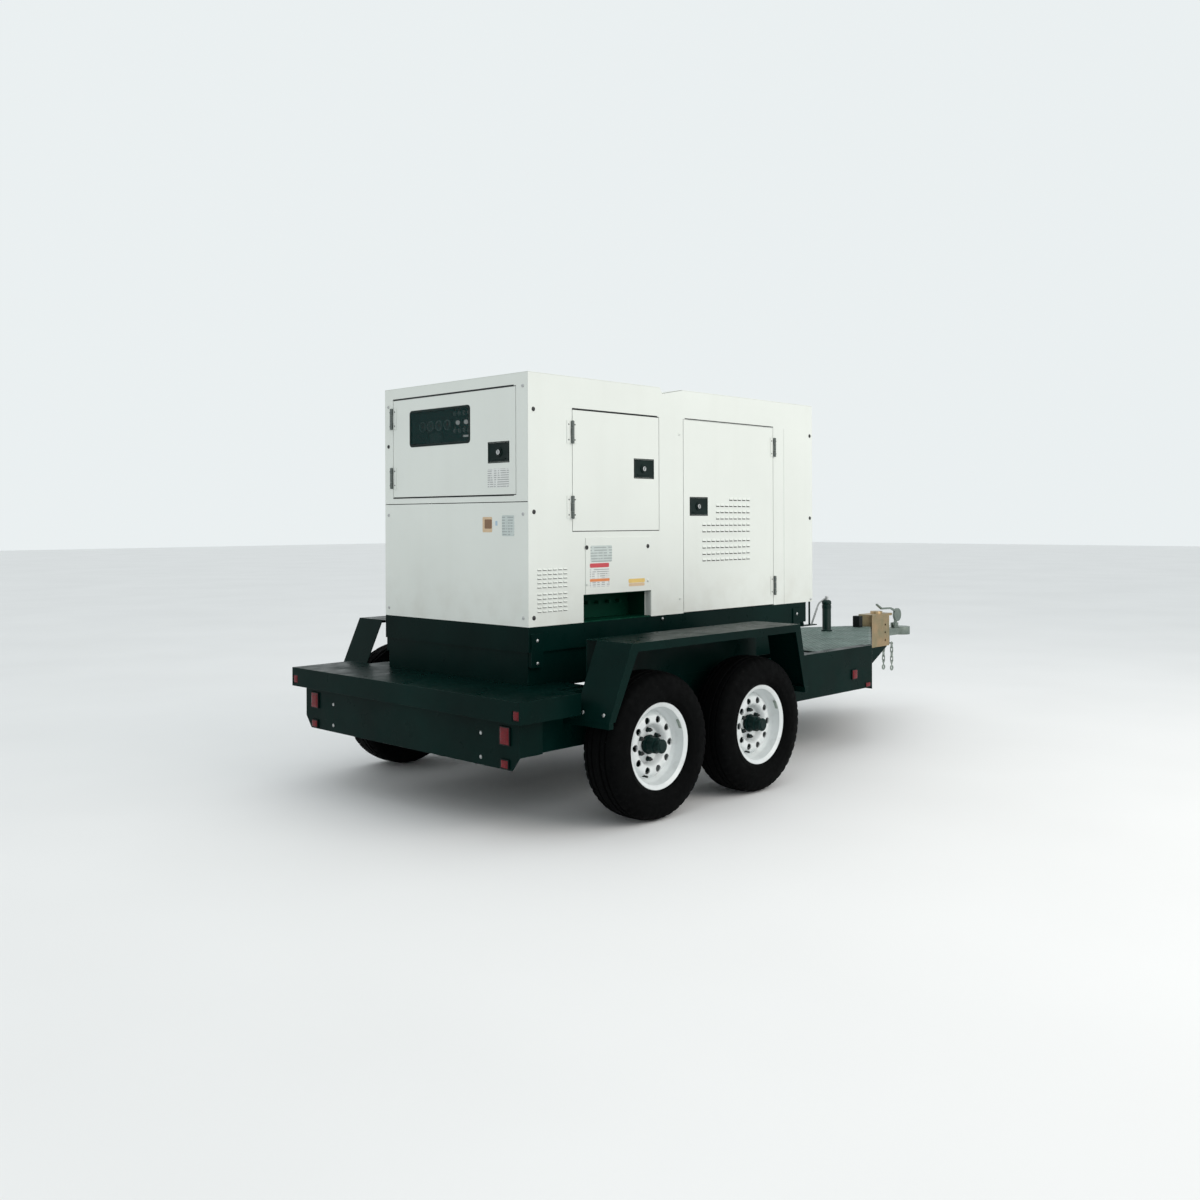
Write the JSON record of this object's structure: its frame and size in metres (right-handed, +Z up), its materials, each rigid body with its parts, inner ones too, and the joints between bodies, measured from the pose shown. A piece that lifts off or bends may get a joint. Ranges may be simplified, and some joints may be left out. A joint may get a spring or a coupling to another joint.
{
  "type": "towable diesel generator",
  "caption": "Tandem-axle trailer carrying a closed diesel generator cabinet with hinged doors, screw jack, ball coupler and fenders.",
  "frame": {"origin": "on the ground, in the middle of the overall length and width", "axes": "+X forwards to the hitch, +Y to the left, +Z up"},
  "size_m": [4.984, 2.17, 2.1459],
  "materials": {
    "cabinet_paint": "off-white powder coat, satin",
    "trailer_paint": "very dark green-black paint, semi-gloss",
    "tread_plate": "bare chequer plate",
    "wheel_paint": "white wheel paint, gloss",
    "hub_paint": "black paint with a worn dust cap",
    "tyre": "black tread rubber",
    "lens_red": "red ribbed lens",
    "latch_black": "black moulded paddle",
    "window_clear": "clear pane",
    "board_paint": "black instrument board",
    "screw_steel": "zinc-plated heads",
    "hinge_paint": "painted steel hinge",
    "engine_iron": "dark grey engine paint",
    "alternator_iron": "grey alternator paint",
    "radiator_core": "black finned core",
    "muffler_steel": "heat-tinted steel",
    "fan_plastic": "black moulded fan",
    "head_zinc": "yellow zinc plating",
    "coupler_grey": "grey cast coupler",
    "chain_zinc": "zinc-plated chain",
    "jack_paint": "dark green paint",
    "crank_zinc": "bright zinc",
    "box_black": "black moulded box",
    "recess_black": "black inner paint"
  },
  "bodies": {
    "chassis": {"alternator": "alternator_iron", "axle_tubes": "trailer_paint", "breakaway_box": "box_black", "cable_recess": "recess_black", "control_board": "board_paint", "coupler": "coupler_grey", "coupler_head": "head_zinc", "end_walls": "cabinet_paint", "engine": "engine_iron", "fender_left": "trailer_paint", "fender_right": "trailer_paint", "frame": "trailer_paint", "fuel_tank": "trailer_paint", "hinge_leaves": "hinge_paint", "jack_tube": "jack_paint", "lamp_lenses": "lens_red", "muffler": "muffler_steel", "outlet_cover": "cabinet_paint", "radiator": "radiator_core", "rear_deck": "trailer_paint", "rear_skirt": "trailer_paint", "roof": "cabinet_paint", "screws": "screw_steel", "side_walls": "cabinet_paint", "skid_base": "trailer_paint", "tongue": "trailer_paint", "tread_deck": "tread_plate"},
    "control_door": {"control_door": "cabinet_paint", "control_window": "window_clear"},
    "control_latch": {"control_latch": "latch_black"},
    "right_rear_door": {"right_rear_door": "cabinet_paint"},
    "right_rear_latch": {"right_rear_latch": "latch_black"},
    "right_front_door": {"right_front_door": "cabinet_paint"},
    "right_front_latch": {"right_front_latch": "latch_black"},
    "left_rear_door": {"left_rear_door": "cabinet_paint"},
    "left_rear_latch": {"left_rear_latch": "latch_black"},
    "left_front_door": {"left_front_door": "cabinet_paint"},
    "left_front_latch": {"left_front_latch": "latch_black"},
    "arm_rear_right": {"arm_rear_right": "trailer_paint"},
    "wheel_rear_right": {"hub_rear_right": "hub_paint", "rim_rear_right": "wheel_paint", "tyre_rear_right": "tyre"},
    "arm_front_right": {"arm_front_right": "trailer_paint"},
    "wheel_front_right": {"hub_front_right": "hub_paint", "rim_front_right": "wheel_paint", "tyre_front_right": "tyre"},
    "arm_rear_left": {"arm_rear_left": "trailer_paint"},
    "wheel_rear_left": {"hub_rear_left": "hub_paint", "rim_rear_left": "wheel_paint", "tyre_rear_left": "tyre"},
    "arm_front_left": {"arm_front_left": "trailer_paint"},
    "wheel_front_left": {"hub_front_left": "hub_paint", "rim_front_left": "wheel_paint", "tyre_front_left": "tyre"},
    "fan": {"cooling_fan": "fan_plastic"},
    "jack_crank": {"jack_crank": "crank_zinc"},
    "jack_leg": {"jack_leg": "jack_paint"},
    "coupler_latch": {"coupler_latch": "coupler_grey"},
    "safety_chain_right": {"safety_chain_right": "chain_zinc"},
    "safety_chain_left": {"safety_chain_left": "chain_zinc"}
  },
  "joints": [
    {"name": "control_door_hinge", "type": "hinge", "parent": "chassis", "child": "control_door", "pos_m": [-2.13, 0.507, 1.82], "axis": [0, 0, -1], "range_deg": [0, 115]},
    {"name": "control_latch_lift", "type": "hinge", "parent": "control_door", "child": "control_latch", "pos_m": [-2.117, -0.363, 1.803], "axis": [0, 1, 0], "range_deg": [0, 35], "stiffness_Nm_per_rad": 0.5, "springref_deg": -11.46},
    {"name": "right_rear_door_hinge", "type": "hinge", "parent": "chassis", "child": "right_rear_door", "pos_m": [-1.828, -0.586, 1.68], "axis": [0, 0, -1], "range_deg": [0, 115]},
    {"name": "right_rear_latch_lift", "type": "hinge", "parent": "right_rear_door", "child": "right_rear_latch", "pos_m": [-1.288, -0.573, 1.739], "axis": [-1, 0, 0], "range_deg": [0, 35], "stiffness_Nm_per_rad": 0.5, "springref_deg": -11.46},
    {"name": "right_front_door_hinge", "type": "hinge", "parent": "chassis", "child": "right_front_door", "pos_m": [-0.114, -0.586, 1.45], "axis": [0, 0, 1], "range_deg": [0, 115]},
    {"name": "right_front_latch_lift", "type": "hinge", "parent": "right_front_door", "child": "right_front_latch", "pos_m": [-0.829, -0.573, 1.543], "axis": [-1, 0, 0], "range_deg": [0, 35], "stiffness_Nm_per_rad": 0.5, "springref_deg": -11.46},
    {"name": "left_rear_door_hinge", "type": "hinge", "parent": "chassis", "child": "left_rear_door", "pos_m": [-1.828, 0.586, 1.68], "axis": [0, 0, 1], "range_deg": [0, 115]},
    {"name": "left_rear_latch_lift", "type": "hinge", "parent": "left_rear_door", "child": "left_rear_latch", "pos_m": [-1.288, 0.573, 1.739], "axis": [1, 0, 0], "range_deg": [0, 35], "stiffness_Nm_per_rad": 0.5, "springref_deg": -11.46},
    {"name": "left_front_door_hinge", "type": "hinge", "parent": "chassis", "child": "left_front_door", "pos_m": [-0.114, 0.586, 1.45], "axis": [0, 0, -1], "range_deg": [0, 115]},
    {"name": "left_front_latch_lift", "type": "hinge", "parent": "left_front_door", "child": "left_front_latch", "pos_m": [-0.829, 0.573, 1.543], "axis": [1, 0, 0], "range_deg": [0, 35], "stiffness_Nm_per_rad": 0.5, "springref_deg": -11.46},
    {"name": "torsion_rear_right", "type": "hinge", "parent": "chassis", "child": "arm_rear_right", "pos_m": [-1.566, -0.745, 0.321], "axis": [0, 1, 0], "range_deg": [-12, 12], "stiffness_Nm_per_rad": 6000, "springref_deg": -1.17},
    {"name": "wheel_spin_rear_right", "type": "hinge", "parent": "arm_rear_right", "child": "wheel_rear_right", "pos_m": [-1.716, -0.9685, 0.355], "axis": [0, 1, 0], "continuous": true},
    {"name": "torsion_front_right", "type": "hinge", "parent": "chassis", "child": "arm_front_right", "pos_m": [-0.762, -0.745, 0.321], "axis": [0, 1, 0], "range_deg": [-12, 12], "stiffness_Nm_per_rad": 6000, "springref_deg": -18.39},
    {"name": "wheel_spin_front_right", "type": "hinge", "parent": "arm_front_right", "child": "wheel_front_right", "pos_m": [-0.912, -0.9685, 0.355], "axis": [0, 1, 0], "continuous": true},
    {"name": "torsion_rear_left", "type": "hinge", "parent": "chassis", "child": "arm_rear_left", "pos_m": [-1.566, 0.745, 0.321], "axis": [0, 1, 0], "range_deg": [-12, 12], "stiffness_Nm_per_rad": 6000, "springref_deg": -1.17},
    {"name": "wheel_spin_rear_left", "type": "hinge", "parent": "arm_rear_left", "child": "wheel_rear_left", "pos_m": [-1.716, 0.9685, 0.355], "axis": [0, 1, 0], "continuous": true},
    {"name": "torsion_front_left", "type": "hinge", "parent": "chassis", "child": "arm_front_left", "pos_m": [-0.762, 0.745, 0.321], "axis": [0, 1, 0], "range_deg": [-12, 12], "stiffness_Nm_per_rad": 6000, "springref_deg": -18.37},
    {"name": "wheel_spin_front_left", "type": "hinge", "parent": "arm_front_left", "child": "wheel_front_left", "pos_m": [-0.912, 0.9685, 0.355], "axis": [0, 1, 0], "continuous": true},
    {"name": "fan_spin", "type": "hinge", "parent": "chassis", "child": "fan", "pos_m": [0.04, 0, 1.37], "axis": [1, 0, 0], "continuous": true},
    {"name": "jack_crank_turn", "type": "hinge", "parent": "chassis", "child": "jack_crank", "pos_m": [1.356, 0, 0.8], "axis": [0, 0, 1], "range_deg": [0, 8500]},
    {"name": "jack_leg_slide", "type": "slide", "parent": "chassis", "child": "jack_leg", "axis": [0, 0, -1], "range_m": [0, 0.3]},
    {"name": "coupler_latch_lift", "type": "hinge", "parent": "chassis", "child": "coupler_latch", "pos_m": [2.325, 0, 0.6], "axis": [0, 1, 0], "range_deg": [0, 40]},
    {"name": "safety_chain_right_swing", "type": "hinge", "parent": "chassis", "child": "safety_chain_right", "pos_m": [2.218, -0.036, 0.466], "axis": [0, 1, 0], "range_deg": [-40, 40]},
    {"name": "safety_chain_left_swing", "type": "hinge", "parent": "chassis", "child": "safety_chain_left", "pos_m": [2.218, 0.036, 0.466], "axis": [0, 1, 0], "range_deg": [-40, 40]}
  ],
  "couplings": [
    {"joint": "jack_leg_slide", "follows": "jack_crank_turn", "m_per_rad": 0.0020213}
  ]
}
